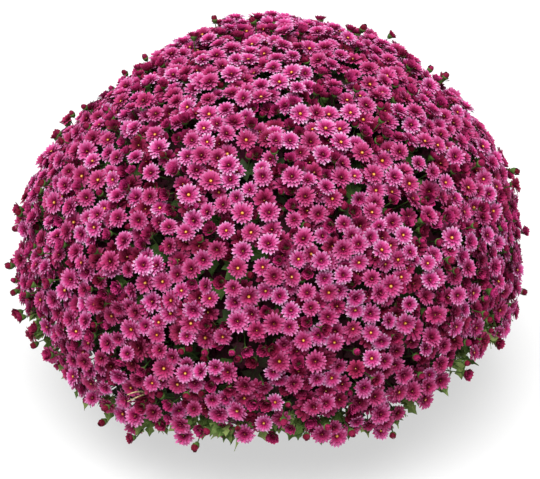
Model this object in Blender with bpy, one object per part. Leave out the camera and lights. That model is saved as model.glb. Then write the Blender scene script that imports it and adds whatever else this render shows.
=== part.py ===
"""Pot chrysanthemum: a broad dome of small double blooms, borne in sprays on leafy stems, in a plain pot.

The stems rise from one woody crown in the soil. Each carries a leafy head, and each head carries its own
spray of blooms. Metres, +Z up, with the pot standing on z = 0 and its axis on the Z axis.
"""

import math
import random

import bmesh
import bpy
import numpy as np
from mathutils import Matrix, Vector, geometry

MM = 0.001

# The dome of blooms, to the petal tips
DOME_RADIUS = 310 * MM
DOME_RISE = 286 * MM
DOME_DROP = 232 * MM
LOWER_CURVE = 2.4
WIDEST_Z = 195 * MM
RIM_Z = 78 * MM
OUTLINE_STEP = math.radians(1.5)
LUMP = 3.5 * MM

# Blooms: each is a shallow cup whose petal tips touch those of its neighbours
BLOOM_COUNT = 1000
BLOOM_JITTER = 0.19
BLOOM_HEIGHTS = (-6 * MM, 3 * MM)
TIP_HEIGHTS = (-1.5 * MM, 1.5 * MM)
CUP_DEPTH = 5 * MM
HOLLOW_DEPTH = 17 * MM
GOLDEN_ANGLE = math.pi * (3 - math.sqrt(5))

# Sprays: each has a flat back, and walls that stay inside its own border as seen from the fork of the stems
FORK_Z = 215 * MM
SPRAY_COUNT = 13
SETTLING_STEPS = 8
SPRAY_PARTING = 1.1 * MM
SPRAY_BACKING = 5 * MM
LEAST_BEND = math.radians(30)
BACK_INSET = 0.03

# Leafy stems: depths and widths as shares of the way from the fork to the spray's back
FIT_GAP = 0.4 * MM
HEAD_SIDES = 12
HEAD_INSET = 0.95
HEAD_DEPTH = 0.58
HEAD_TAPER = 0.33
STEM_TOP = 0.34
STEM_RADII = (4.0 * MM, 7.0 * MM)

# Leaves: half the outline of a stalk and a lobed blade as (across, along), in leaf lengths
LEAF_HALF = (
    (0.035, 0.0),
    (0.045, 0.26),
    (0.30, 0.40),
    (0.17, 0.52),
    (0.35, 0.69),
    (0.16, 0.79),
)
LEAF_LENGTHS = (97 * MM, 117 * MM)
LEAF_MIDDLE = 0.55
LEAF_THICKNESS = 3.0 * MM
LEAF_CURL = 0.24
LEAF_ROWS = ((0.84, -75, 36 * MM), (0.70, -80, 60 * MM))  # place along the head, slope in degrees, pitch
LEAF_SWAY = 4
LEAF_TURN = 0.12
LEAF_LIFT = 5 * MM
LEAF_BAND = 30 * MM
LEAF_FANNING = 1.35
LEAFY_BELOW = 150 * MM

# Crown, soil and pot
CROWN_RADIUS = 24 * MM
CROWN_BALL = 29 * MM
CROWN_STEM_RADIUS = 11 * MM
CROWN_FOOT_Z = 95 * MM
CROWN_SIDES = 12
POT_HEIGHT = 165 * MM
POT_TOP_RADIUS = 108 * MM
POT_FOOT_RADIUS = 82 * MM
POT_WALL = 2.2 * MM
POT_FLOOR = 3.0 * MM
POT_LIP_HEIGHT = 20 * MM
POT_LIP_STEP = 3.5 * MM
POT_SIDES = 28
DRAIN_HOLES = 5
DRAIN_RADIUS = 5 * MM
DRAIN_RING_RADIUS = 52 * MM
SOIL_Z = 150 * MM
SOIL_CROWNING = 4 * MM
SOIL_GAP = 0.3 * MM

# Base colour and roughness
COLOURS = {
    "petals": ((0.52, 0.055, 0.27), 0.55),
    "leaves": ((0.075, 0.15, 0.035), 0.6),
    "bark": ((0.16, 0.11, 0.06), 0.85),
    "soil": ((0.035, 0.022, 0.015), 0.95),
    "pot": ((0.045, 0.043, 0.042), 0.5),
}

FORK = Vector((0, 0, FORK_Z))


def clear_scene():
    for item in list(bpy.data.objects):
        bpy.data.objects.remove(item, do_unlink=True)


def material(name):
    made = bpy.data.materials.get(name)
    if made is None:
        made = bpy.data.materials.new(name)
        made.use_nodes = True
        colour, roughness = COLOURS[name]
        shader = made.node_tree.nodes["Principled BSDF"]
        shader.inputs["Base Color"].default_value = (*colour, 1)
        shader.inputs["Roughness"].default_value = roughness
        made.diffuse_color = (*colour, 1)
    return made


def make_object(name, bm, material_name, smooth_angle=None):
    mesh = bpy.data.meshes.new(name)
    bmesh.ops.recalc_face_normals(bm, faces=bm.faces)
    bm.to_mesh(mesh)
    bm.free()
    made = bpy.data.objects.new(name, mesh)
    bpy.context.scene.collection.objects.link(made)
    mesh.materials.append(material(material_name))
    if smooth_angle is not None:
        mesh.shade_smooth()
        mesh.set_sharp_from_angle(angle=smooth_angle)
    return made


def apply_boolean(target, tools, operation, solver="EXACT"):
    """Joins or cuts target with the tool objects at once, then removes them."""
    group = bpy.data.collections.new("tools")
    bpy.context.scene.collection.children.link(group)
    for tool in tools:
        bpy.context.scene.collection.objects.unlink(tool)
        group.objects.link(tool)
    modifier = target.modifiers.new(operation.lower(), "BOOLEAN")
    modifier.operation = operation
    modifier.solver = solver
    modifier.operand_type = "COLLECTION"
    modifier.collection = group
    bpy.context.view_layer.update()
    evaluated = target.evaluated_get(bpy.context.evaluated_depsgraph_get())
    result = bpy.data.meshes.new_from_object(evaluated)
    target.modifiers.clear()
    target.data = result
    for tool in tools:
        bpy.data.objects.remove(tool, do_unlink=True)
    bpy.data.collections.remove(group)


class Dome:
    """The round envelope of the blooms, measured by the distance down its outline from the top."""

    def __init__(self):
        upper = np.arange(0, math.pi / 2, OUTLINE_STEP)
        radius = DOME_RADIUS * np.sin(upper)
        height = WIDEST_Z + DOME_RISE * np.cos(upper)
        drop = DOME_DROP * np.sin(np.arange(0, math.radians(60), OUTLINE_STEP))
        lower = DOME_RADIUS * (1 - (drop / DOME_DROP) ** LOWER_CURVE) ** (1 / LOWER_CURVE)
        self.radius = np.append(radius, lower)
        self.height = np.append(height, WIDEST_Z - drop)
        step = np.hypot(np.diff(self.radius), np.diff(self.height))
        middle = (self.radius[1:] + self.radius[:-1]) / 2
        self.distance = np.append(0, np.cumsum(step))
        self.area = np.append(0, np.cumsum(2 * math.pi * middle * step))
        self.spread = np.append(0, np.cumsum(step / middle))
        self.rim = float(np.interp(-RIM_Z, -self.height, self.distance))
        self.rim_area = float(np.interp(self.rim, self.distance, self.area))

    def at_area(self, share):
        """Distance down the outline below which that share of the dome's area lies above."""
        return float(np.interp(share * self.rim_area, self.area, self.distance))

    def radius_at(self, distance):
        return float(np.interp(distance, self.distance, self.radius))

    def point(self, distance, azimuth, lift=0.0):
        """A point over the dome, lifted along its normal, with the dome's slow lumps added."""
        step = self.distance[2]
        outline = [
            Vector((np.interp(d, self.distance, self.radius), 0, np.interp(d, self.distance, self.height)))
            for d in (max(distance - step, 0), distance, distance + step)
        ]
        along = (outline[2] - outline[0]).normalized()
        normal = Vector((-along.z, 0, along.x))
        turns = distance / DOME_RADIUS
        lump = LUMP * (math.sin(3 * azimuth + 4 * turns) + 0.7 * math.sin(5 * azimuth - 6 * turns + 2))
        flat = outline[1] + normal * (lift + lump)
        return Matrix.Rotation(azimuth, 3, "Z") @ flat

    def unrolled(self, distance, azimuth):
        """The point on a flat map that keeps the dome's angles."""
        reach = math.exp(np.interp(distance, self.distance, self.spread))
        return Vector((reach * math.cos(azimuth), reach * math.sin(azimuth)))


def spiral(dome, count):
    """Evenly spread places on the dome, as (distance, azimuth), in the order a plant sets its buds."""
    return [(dome.at_area((i + 0.5) / count), i * GOLDEN_ANGLE) for i in range(count)]


def bloom_places(dome):
    """Jittered places of the blooms, then of the bare ring below the last of them."""
    draw = random.Random(8)
    spacing = math.sqrt(dome.rim_area / BLOOM_COUNT * 2 / math.sqrt(3))
    places = []
    for distance, azimuth in spiral(dome, BLOOM_COUNT):
        shift = [draw.uniform(-BLOOM_JITTER, BLOOM_JITTER) * spacing for _ in range(2)]
        distance = min(max(distance + shift[0], spacing / 4), dome.rim)
        places.append((distance, azimuth + shift[1] / dome.radius_at(distance)))
    below = dome.rim + spacing
    ring = round(2 * math.pi * dome.radius_at(below) / spacing)
    places += [(below, 2 * math.pi * i / ring) for i in range(ring)]
    return places


class Blooms:
    """The blooms' places, heights and neighbours, and the points that their faces share."""

    def __init__(self, dome):
        places = bloom_places(dome)
        draw = random.Random(21)
        self.lifts = [draw.uniform(*BLOOM_HEIGHTS) for _ in places]
        self.surface = [dome.point(*place) for place in places]
        self.normals = [
            (dome.point(*place, 10 * MM) - point).normalized()
            for place, point in zip(places, self.surface)
        ]
        flat = [dome.unrolled(*place) for place in places]
        _, _, faces, came_from, _, _ = geometry.delaunay_2d_cdt(flat, [], [], 0, 1e-9)
        self.triangles = [tuple(came_from[v][0] for v in face) for face in faces]
        self.around = {i: [] for i in range(BLOOM_COUNT)}
        for index, corners in enumerate(self.triangles):
            for turn in range(3):
                bloom, ahead, behind = (corners[(turn + k) % 3] for k in range(3))
                if bloom < BLOOM_COUNT:
                    self.around[bloom].append((index, ahead, behind))
        self.tip_lifts = {}
        self.draw = draw

    def cup(self, bloom):
        """The middle of a bloom, a little below its petal tips."""
        return self.surface[bloom] + self.normals[bloom] * (self.lifts[bloom] - CUP_DEPTH)

    def tip(self, bloom, other, own):
        """Where the petals of two neighbours touch, drawn back where other is of another spray."""
        pair = (min(bloom, other), max(bloom, other))
        if pair not in self.tip_lifts:
            self.tip_lifts[pair] = self.draw.uniform(*TIP_HEIGHTS)
        lift = (self.lifts[bloom] + self.lifts[other]) / 2 + self.tip_lifts[pair]
        normal = (self.normals[bloom] + self.normals[other]) / 2
        place = (self.surface[bloom] + self.surface[other]) / 2 + normal * lift
        return place if other in own else self.drawn_back(place, [bloom])

    def hollow(self, triangle, own):
        """The bottom of the gap between three blooms."""
        corners = self.triangles[triangle]
        place = sum((self.surface[b] for b in corners), Vector()) / 3
        normal = sum((self.normals[b] for b in corners), Vector()).normalized()
        lift = sum(self.lifts[b] for b in corners) / 3
        place += normal * (lift - HOLLOW_DEPTH)
        inside = [b for b in corners if b in own]
        return place if len(inside) == 3 else self.drawn_back(place, inside)

    def drawn_back(self, place, blooms):
        """The place moved a little towards its own blooms, which parts one spray from the next."""
        towards = sum((self.surface[b] for b in blooms), Vector()) / len(blooms) - place
        return place + towards.normalized() * SPRAY_PARTING


def sprays_of(dome, blooms):
    """The blooms of each spray: those nearest to its middle, once the sprays have settled to even sizes."""
    middles = [dome.point(*place) for place in spiral(dome, SPRAY_COUNT)]
    for _ in range(SETTLING_STEPS):
        members = [set() for _ in middles]
        for bloom in range(BLOOM_COUNT):
            gaps = [(blooms.surface[bloom] - middle).length for middle in middles]
            members[gaps.index(min(gaps))].add(bloom)
        middles = [sum((blooms.surface[b] for b in own), Vector()) / len(own) for own in members]
    return members


def border_of(bm):
    """The open border of a face patch, as vertices in the order of its faces' sides."""
    loops = [loop for edge in bm.edges if edge.is_boundary for loop in edge.link_loops]
    following = {loop.vert: loop.link_loop_next.vert for loop in loops}
    start = next(iter(following))
    border = [start]
    while following[border[-1]] != start:
        border.append(following[border[-1]])
    if len(border) != len(following):
        raise ValueError("a spray's border is not one loop")
    return border


def screen_of(axis):
    across = axis.orthogonal().normalized()
    return across, axis.cross(across)


def sighted(place, axis):
    """Where a point is seen from the fork, on a flat screen square to the axis at a distance of one."""
    across, upward = screen_of(axis)
    arm = place - FORK
    return Vector((arm.dot(across), arm.dot(upward))) / arm.dot(axis)


def on_screen(spot, axis, distance):
    """The point seen at that spot, on the flat that lies square to the axis at the distance."""
    across, upward = screen_of(axis)
    return FORK + (axis + across * spot.x + upward * spot.y) * distance


def sides_at(outline, k):
    """The directions of the sides before and after a corner of a flat outline."""
    before = (outline[k] - outline[k - 1]).normalized()
    after = (outline[(k + 1) % len(outline)] - outline[k]).normalized()
    return before, after


def bend_of(outline, k):
    """The turn at a corner of an anticlockwise outline: negative where the corner points inwards."""
    before, after = sides_at(outline, k)
    return math.atan2(before.cross(after), before.dot(after))


def drawn_in(outline, k):
    """A corner of an anticlockwise outline moved inwards, half way between its two sides."""
    way = sum(sides_at(outline, k), Vector((0, 0))).orthogonal().normalized()
    return outline[k] + way * BACK_INSET


def spans_of(picked, count):
    """How each picked corner of a loop of count corners leads to the next, as (start, end, steps)."""
    following = picked[1:] + picked[:1]
    return [(start, end, (end - start) % count) for start, end in zip(picked, following)]


def anchors_of(outline):
    """Corners of an anticlockwise outline that, once drawn in, face every side between them."""
    count = len(outline)
    bends = [bend_of(outline, k) for k in range(count)]
    picked = [k for k in range(count) if bends[k] < -LEAST_BEND]
    while True:
        missed = set()
        for start, end, steps in spans_of(picked, count):
            for step in range(steps):
                near = drawn_in(outline, start if step < steps // 2 else end)
                side = (outline[(start + step) % count], outline[(start + step + 1) % count])
                if (side[0] - near).cross(side[1] - near) <= 0:
                    inner = [(start + k) % count for k in range(1, steps)]
                    missed.add(min(inner, key=lambda k: bends[k], default=start))
        if missed <= set(picked):
            return picked
        picked = sorted(missed.union(picked))


def add_spray(name, blooms, own):
    """One spray of blooms. Returns its axis, and the distance from the fork and the outline of its back."""
    bm = bmesh.new()
    made = {}

    def vertex(key, place):
        if key not in made:
            made[key] = bm.verts.new(place)
        return made[key]

    for bloom in sorted(own):
        middle = vertex(("cup", bloom), blooms.cup(bloom))
        for triangle, ahead, behind in blooms.around[bloom]:
            hollow = vertex(("hollow", triangle), blooms.hollow(triangle, own))
            tips = [
                vertex(("tip", min(bloom, other), max(bloom, other)), blooms.tip(bloom, other, own))
                for other in (ahead, behind)
            ]
            bm.faces.new((middle, tips[0], hollow))
            bm.faces.new((middle, hollow, tips[1]))

    centre = sum((blooms.surface[b] for b in own), Vector()) / len(own)
    axis = (centre - FORK).normalized()
    border = border_of(bm)
    distance = min((vertex.co - FORK).dot(axis) for vertex in border) - SPRAY_BACKING
    seen = [sighted(vertex.co, axis) for vertex in border]
    if sum(seen[k - 1].cross(seen[k]) for k in range(len(seen))) < 0:
        border.reverse()
        seen.reverse()
    picked = anchors_of(seen)
    outline = [drawn_in(seen, k) for k in picked]
    ring = {k: bm.verts.new(on_screen(spot, axis, distance)) for k, spot in zip(picked, outline)}
    for start, end, steps in spans_of(picked, len(border)):
        loop = [border[(start + step) % len(border)] for step in range(steps + 1)]
        for step in range(steps):
            near = ring[start] if step < steps // 2 else ring[end]
            bm.faces.new((loop[step], loop[step + 1], near))
        bm.faces.new((loop[steps // 2], ring[end], ring[start]))
    bm.faces.new(ring.values())
    bmesh.ops.triangulate(bm, faces=bm.faces[:])
    make_object(name, bm, "petals")
    return axis, distance, outline


class Head:
    """The leafy head under one spray: rings of corners about an axis that leaves the fork."""

    def __init__(self, axis, distance, outline):
        self.axis = axis
        self.distance = distance - FIT_GAP
        self.spots = []
        sector = 2 * math.pi / HEAD_SIDES
        for k in range(HEAD_SIDES):
            way = Vector((math.cos(sector * k), math.sin(sector * k)))
            near = [spot.length for spot in outline if spot.angle(way) < sector]
            self.spots.append(way * min(near) * HEAD_INSET)

    def ring(self, share):
        """The head's outline at that share of the way out from the fork. It narrows inwards."""
        width = 1 - HEAD_TAPER * (1 - share)
        return [on_screen(spot * width, self.axis, self.distance * share) for spot in self.spots]

    def stalk(self, reach, radius):
        """The ring of a round stem at that reach from the fork."""
        return [on_screen(spot.normalized() * (radius / reach), self.axis, reach) for spot in self.spots]


def add_leafy_stem(name, head):
    """A stem that leaves the crown and opens into the head that carries a spray."""
    rings = [head.ring(1), head.ring(HEAD_DEPTH)]
    rings.append(head.stalk(head.distance * STEM_TOP, STEM_RADII[1]))
    rings.append(head.stalk(CROWN_RADIUS + FIT_GAP, STEM_RADII[0]))
    bm = bmesh.new()
    loops = [[bm.verts.new(place) for place in ring] for ring in rings]
    for upper, lower in zip(loops, loops[1:]):
        for k in range(HEAD_SIDES):
            after = (k + 1) % HEAD_SIDES
            bm.faces.new((upper[k], lower[k], lower[after], upper[after]))
    bm.faces.new(loops[0])
    bm.faces.new(loops[-1][::-1])
    bmesh.ops.triangulate(bm, faces=bm.faces[:])
    return make_object(name, bm, "leaves")


def lowest_crossing(corners, azimuth):
    """The lowest point in which a ring of corners crosses the upright plane at that azimuth."""
    across = Vector((-math.sin(azimuth), math.cos(azimuth), 0))
    found = []
    for k, start in enumerate(corners):
        end = corners[(k + 1) % len(corners)]
        sides = (start.dot(across), end.dot(across))
        if sides[0] * sides[1] <= 0:
            found.append(start.lerp(end, sides[0] / (sides[0] - sides[1])))
    return min(found, key=lambda place: place.z)


def add_leaf(root, azimuth, slope, draw):
    """A lobed leaf on its stalk, thickest down the middle, that hangs from its root and curls outwards."""
    length = draw.uniform(*LEAF_LENGTHS)
    half = [*LEAF_HALF, (0.0, 1.0)]
    outline = half + [(-x, y) for x, y in LEAF_HALF[::-1]]
    curl = LEAF_CURL * length
    bm = bmesh.new()
    edge = [bm.verts.new((x * length, y * length, curl * (y * y + x * x))) for x, y in outline]
    rise = curl * LEAF_MIDDLE**2
    faces = [bm.verts.new((0, LEAF_MIDDLE * length, rise + side * LEAF_THICKNESS / 2)) for side in (1, -1)]
    for k, vertex in enumerate(edge):
        after = edge[(k + 1) % len(edge)]
        bm.faces.new((faces[0], vertex, after))
        bm.faces.new((faces[1], after, vertex))
    turn = azimuth + draw.uniform(-LEAF_TURN, LEAF_TURN)
    tilt = math.radians(slope + draw.uniform(-LEAF_SWAY, LEAF_SWAY))
    along = Vector((math.cos(turn) * math.cos(tilt), math.sin(turn) * math.cos(tilt), math.sin(tilt)))
    across = Vector((-math.sin(turn), math.cos(turn), 0))
    facing = Matrix((-across, along, (-across).cross(along))).transposed().to_4x4()
    bm.transform(Matrix.Translation(root) @ facing)
    return make_object("leaf", bm, "leaves")


def add_leaves(heads, stems):
    """Rows of leaves under the dome's rim, each joined to the underside of the head that it grows from."""
    draw = random.Random(5)
    for name, head in heads.items():
        leaves = []
        for share, slope, pitch in LEAF_ROWS:
            ring = head.ring(share)
            lowest = min(ring, key=lambda corner: corner.z)
            if lowest.z > LEAFY_BELOW:
                continue
            middle = math.atan2(head.axis.y, head.axis.x)
            sides = [
                math.remainder(math.atan2(corner.y, corner.x) - middle, 2 * math.pi)
                for corner in ring
                if corner.z < lowest.z + LEAF_BAND
            ]
            count = max(2, round((max(sides) - min(sides)) * lowest.xy.length / pitch))
            for k in range(count):
                side = min(sides) + (max(sides) - min(sides)) * (k + 0.5) / count
                root = lowest_crossing(ring, middle + side) + Vector((0, 0, LEAF_LIFT))
                leaves.append(add_leaf(root, middle + side * LEAF_FANNING, slope, draw))
        if leaves:
            apply_boolean(stems[name], leaves, "UNION", "MANIFOLD")


def lathe(outline, sides):
    """A solid turned round the Z axis, from an outline of (radius, height) that starts and ends on it."""
    bm = bmesh.new()
    line = [bm.verts.new((radius, 0, height)) for radius, height in outline]
    edges = [bm.edges.new(pair) for pair in zip(line, line[1:])]
    bmesh.ops.spin(
        bm, geom=line + edges, cent=(0, 0, 0), axis=(0, 0, 1), angle=2 * math.pi, steps=sides, use_merge=True
    )
    bmesh.ops.remove_doubles(bm, verts=bm.verts, dist=0.01 * MM)
    return bm


def add_crown(axes):
    """The woody crown, with a flat seat cut square to each stem that leaves it."""
    outline = [(0, CROWN_FOOT_Z), (CROWN_STEM_RADIUS, CROWN_FOOT_Z)]
    outline.append((CROWN_STEM_RADIUS, SOIL_Z + SOIL_CROWNING))
    lowest = math.radians(-50)
    for k in range(6):
        angle = lowest + (math.pi / 2 - lowest) * k / 6
        outline.append((CROWN_BALL * math.cos(angle), FORK_Z + CROWN_BALL * math.sin(angle)))
    outline.append((0, FORK_Z + CROWN_BALL))
    bm = lathe(outline, CROWN_SIDES)
    for axis in axes:
        parts = bm.verts[:] + bm.edges[:] + bm.faces[:]
        cut = bmesh.ops.bisect_plane(
            bm, geom=parts, plane_co=FORK + axis * CROWN_RADIUS, plane_no=axis, clear_outer=True
        )
        rim = [part for part in cut["geom_cut"] if isinstance(part, bmesh.types.BMEdge)]
        bmesh.ops.edgeloop_fill(bm, edges=rim)
    bmesh.ops.remove_doubles(bm, verts=bm.verts, dist=0.05 * MM)
    return make_object("crown", bm, "bark")


def pot_inner_radius(height):
    share = height / POT_HEIGHT
    return POT_FOOT_RADIUS + (POT_TOP_RADIUS - POT_LIP_STEP - POT_FOOT_RADIUS) * share - POT_WALL


def add_soil():
    foot = POT_FLOOR + SOIL_GAP
    outline = [
        (0, foot),
        (pot_inner_radius(foot) - SOIL_GAP, foot),
        (pot_inner_radius(SOIL_Z) - SOIL_GAP, SOIL_Z),
        (pot_inner_radius(SOIL_Z) * 0.5, SOIL_Z + SOIL_CROWNING * 0.8),
        (0, SOIL_Z + SOIL_CROWNING),
    ]
    soil = make_object("soil", lathe(outline, POT_SIDES), "soil")
    hole = bmesh.new()
    depth = SOIL_Z + 2 * SOIL_CROWNING - CROWN_FOOT_Z + SOIL_GAP
    radius = CROWN_STEM_RADIUS + SOIL_GAP
    bmesh.ops.create_cone(
        hole, cap_ends=True, segments=CROWN_SIDES, radius1=radius, radius2=radius, depth=depth
    )
    spin_start = Matrix.Rotation(math.pi / 2, 4, "Z")
    middle = Vector((0, 0, CROWN_FOOT_Z - SOIL_GAP + depth / 2))
    hole.transform(Matrix.Translation(middle) @ spin_start)
    apply_boolean(soil, [make_object("stem hole", hole, "soil")], "DIFFERENCE")


def add_pot():
    lip_foot = POT_HEIGHT - POT_LIP_HEIGHT
    wall_top = pot_inner_radius(lip_foot) + POT_WALL
    outline = [
        (0, 0),
        (POT_FOOT_RADIUS - POT_WALL, 0),
        (POT_FOOT_RADIUS, POT_WALL),
        (wall_top, lip_foot),
        (wall_top + POT_LIP_STEP, lip_foot),
        (POT_TOP_RADIUS, POT_HEIGHT),
        (POT_TOP_RADIUS - POT_WALL, POT_HEIGHT),
        (pot_inner_radius(lip_foot), lip_foot),
        (pot_inner_radius(POT_FLOOR), POT_FLOOR),
        (0, POT_FLOOR),
    ]
    pot = make_object("pot", lathe(outline, POT_SIDES), "pot", smooth_angle=math.radians(30))
    drains = []
    for k in range(DRAIN_HOLES):
        hole = bmesh.new()
        bmesh.ops.create_cone(
            hole, cap_ends=True, segments=8, radius1=DRAIN_RADIUS, radius2=DRAIN_RADIUS, depth=4 * POT_FLOOR
        )
        turn = Matrix.Rotation(2 * math.pi * (k + 0.5) / DRAIN_HOLES, 4, "Z")
        hole.transform(turn @ Matrix.Translation((DRAIN_RING_RADIUS, 0, 0)))
        drains.append(make_object("drain", hole, "pot"))
    apply_boolean(pot, drains, "DIFFERENCE")


def build():
    clear_scene()
    dome = Dome()
    blooms = Blooms(dome)
    heads = {}
    stems = {}
    for number, own in enumerate(sprays_of(dome, blooms), 1):
        name = f"spray_{number:02d}_leafy_stem"
        heads[name] = Head(*add_spray(f"spray_{number:02d}_blooms", blooms, own))
        stems[name] = add_leafy_stem(name, heads[name])
    add_leaves(heads, stems)
    add_crown([head.axis for head in heads.values()])
    add_soil()
    add_pot()


build()
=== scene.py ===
"""The looks of a pot chrysanthemum: a dome of small double blooms on leafy sprays, in a plain pot."""

import math

import bpy
import numpy as np
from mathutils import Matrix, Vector


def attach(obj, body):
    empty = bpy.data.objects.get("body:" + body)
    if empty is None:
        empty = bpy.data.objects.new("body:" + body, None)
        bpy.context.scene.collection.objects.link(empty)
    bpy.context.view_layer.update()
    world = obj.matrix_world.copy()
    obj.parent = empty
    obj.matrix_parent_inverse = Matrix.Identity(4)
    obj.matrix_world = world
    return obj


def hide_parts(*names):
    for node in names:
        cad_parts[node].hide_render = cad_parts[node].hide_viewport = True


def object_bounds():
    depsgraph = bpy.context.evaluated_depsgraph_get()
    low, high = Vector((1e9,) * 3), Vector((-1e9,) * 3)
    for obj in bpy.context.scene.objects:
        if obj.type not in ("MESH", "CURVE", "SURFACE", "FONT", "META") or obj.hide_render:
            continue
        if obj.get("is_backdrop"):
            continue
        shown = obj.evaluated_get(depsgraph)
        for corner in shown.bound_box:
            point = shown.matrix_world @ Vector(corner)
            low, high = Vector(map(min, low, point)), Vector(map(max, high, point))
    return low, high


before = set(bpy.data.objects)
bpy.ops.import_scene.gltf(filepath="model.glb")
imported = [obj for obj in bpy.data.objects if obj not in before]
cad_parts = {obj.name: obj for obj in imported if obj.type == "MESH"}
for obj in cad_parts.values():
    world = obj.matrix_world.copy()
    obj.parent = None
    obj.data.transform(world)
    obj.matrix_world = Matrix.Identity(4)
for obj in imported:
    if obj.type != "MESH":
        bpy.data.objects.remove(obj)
cad_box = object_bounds()

# Lengths are in millimetres and angles in degrees, apart from the golden angle, which is in radians.
MM = 0.001
GOLDEN_ANGLE = math.pi * (3 - math.sqrt(5))
UP = np.array([0.0, 0.0, 1.0])

# How upright a direction is before its turns start from X instead of Z
NEARLY_UPRIGHT = 0.9

# The photograph's view
CAMERA_RISE = 28
CAMERA_DISTANCE = 2400
VIEW_MIDDLE = (0, 0, 210)
VIEW_WIDTH = 671
SENSOR_WIDTH = 36

# The light, and the pale ground that glows a little
SKY_STRENGTH = 0.6
SUN_STRENGTH = 5.6
SUN_BREADTH = 50
SUN_WAY = (-0.1, -0.48, 1)
FLOOR_REACH = 40000
FLOOR_SHADE = 0.27
FLOOR_GLOW = 0.57

# The dome that the blooms cover, as in the CAD part: an ellipse above its widest height, and below it a
# squarer curve that is followed as far as LOWER_REACH
DOME_RADIUS = 310
DOME_RISE = 286
DOME_DROP = 232
LOWER_CURVE = 2.4
LOWER_REACH = 60
WIDEST_Z = 195
RIM_Z = 78
OUTLINE_STEP = 1.5
SPRAY_COUNT = 13

# Waves that make the dome uneven: their height, and for each its waves round the dome and down it, its
# start in radians, and its share of the height
LUMP = 3.5
LUMP_WAVES = ((3, 4, 0, 1), (5, -6, 2, 0.7))

# How far the last blooms stand above the rim, round the plant: azimuth and lift
RIM_LIFTS = (
    (-180, 40), (-165, 64), (-152, 36), (-140, 4), (-126, -3), (-110, 28), (-90, 42), (-72, 20),
    (-60, 6), (-54, 46), (-40, 76), (-25, 76), (-10, 48), (10, 10), (30, 0), (150, 0), (180, 40),
)

# The share of the way from the top to the rim below which heads and leaves are drawn up to the last blooms
RIM_BAND = 0.7

# Where the dome is flatter: the direction it lies in, its depth and its breadth
DENT_WAY = np.array([-0.62, 0.36, 0.7])
DENT_DEPTH = 19
DENT_BREADTH = 0.13

# Blooms, fill heads and strays: how many, how many tries for each place, heights off the surface, and tilt
BLOOM_COUNT = 1950
BLOOM_TRIES = 10
BLOOM_HEIGHTS = (-12, 2)
BLOOM_TILT = 0.24
FILL_COUNT = 1170
FILL_TRIES = 18
FILL_HEIGHTS = (-18, -8)
FILL_TILT = 0.35
STRAY_COUNT = 135
STRAY_TRIES = 12
STRAY_HEIGHTS = (1, 11)
STRAY_TILT = 0.3

# How heads turn: all of them to the light, and those whose surface faces down also upwards
LIGHT_WAY = np.array([0.0, -0.7, 0.7])
TURN_TO_LIGHT = 0.22
LOW_LIFT = 0.9

# The share of the heads that stay, by height above the last blooms
THINNED_AT = (14, 34, 120, 210)
THINNED_TO = (0.4, 0.8, 0.9, 1.0)

# Where the heads stand further apart: the direction it lies in, its breadth and the share that stays
SPARSE_WAY = np.array([-0.97, -0.05, 0.24])
SPARSE_BREADTH = 0.06
SPARSE_SHARE = 0.5

# The shares of open, full, deep, half open and closed heads
BLOOM_SHARES = (0.30, 0.50, 0.0, 0.16, 0.04)
FILL_SHARES = (0.03, 0.12, 0.52, 0.23, 0.10)
STRAY_SHARES = (0.0, 0.0, 0.1, 0.4, 0.5)

# How heads differ. Painted light makes them paler facing up, and painted shade darkens fill heads and strays.
HEAD_VARIANTS = 5
HEAD_SIZES = (0.74, 1.0)
FILL_SIZE = 1.18
HEAD_TINTS = (-0.5, 1)
PAINTED_LIGHT_ABOVE = 0.3
PAINTED_SHADE_BETWEEN = 0.9

# Petals: the shares of the length where a petal is measured, its widths there and how far it folds
PETAL_STATIONS = (0, 0.42, 0.82, 1)
PETAL_WIDTHS = (0.72, 1)
PETAL_FOLD = 0.4

# Flaps: the share of the length where a flap is widest, and the shares of its bend before and after it
FLAP_WIDEST = 0.62
FLAP_BENDS = (0.3, 0.8)

# How the petals of a row differ: in length, steepness, tone, roll and place
PETAL_LENGTHS = (0.88, 1.08)
PETAL_STEEPER = (-8, 8)
PETAL_PALER = (-0.09, 0.09)
PETAL_ROLLS = (-0.35, 0.35)
PETAL_STRAYS = (-0.2, 0.2)

# How leaves are shaped: curl, fold, sway and ripple, for a leaf of unit length
LEAF_CURLS = (0.1, 0.4)
LEAF_FOLDS = (0.1, 0.35)
LEAF_SWAYS = (-0.15, 0.15)
LEAF_RIPPLE = 0.03
LEAF_RIPPLES = 14
LEAF_VARIANTS = 4
DEEP_LEAF_VARIANTS = 2

# Leaf layers under the blooms: how many, heights off the surface, lengths, leans out of it, and tints.
# Each leaf lies over its place at LEAF_HELD_AT, a share of its length.
# The darker tints of the deeper layers are painted shade.
LEAF_LAYERS = (
    (600, (-34, -18), (34, 48), (0.1, 0.8), (-0.85, 0.3)),
    (1100, (-48, -38), (52, 66), (0.0, 0.3), (-1, -0.5)),
    (750, (-68, -58), (66, 80), (0.0, 0.15), (-1, -0.7)),
)
LEAF_TILT = 0.2
LEAF_HELD_AT = 0.5

# The skirt of leaves that hang out below the last blooms, on the surface past SKIRT_BAND of its area
SKIRT_COUNT = 720
SKIRT_BAND = 0.93
SKIRT_HEIGHTS = (-28, -6)
SKIRT_LENGTHS = (17, 28)
SKIRT_TINTS = (0.35, 1.05)
SKIRT_SPREAD = 0.5
SKIRT_DROOPS = (-0.1, 0.6)
SKIRT_TILT = 0.35
SKIRT_HELD_AT = 0.4

# A spray's stem: where it leaves the crown, how it rises and leans, and how far to its heads it forks
STEM_FOOT = 14
STEM_FOOT_Z = 145
STEM_RISE = 60
STEM_LEAN = 0.1
STEM_FORK = 0.52
STEM_RADII = (5, 3.6)

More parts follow.
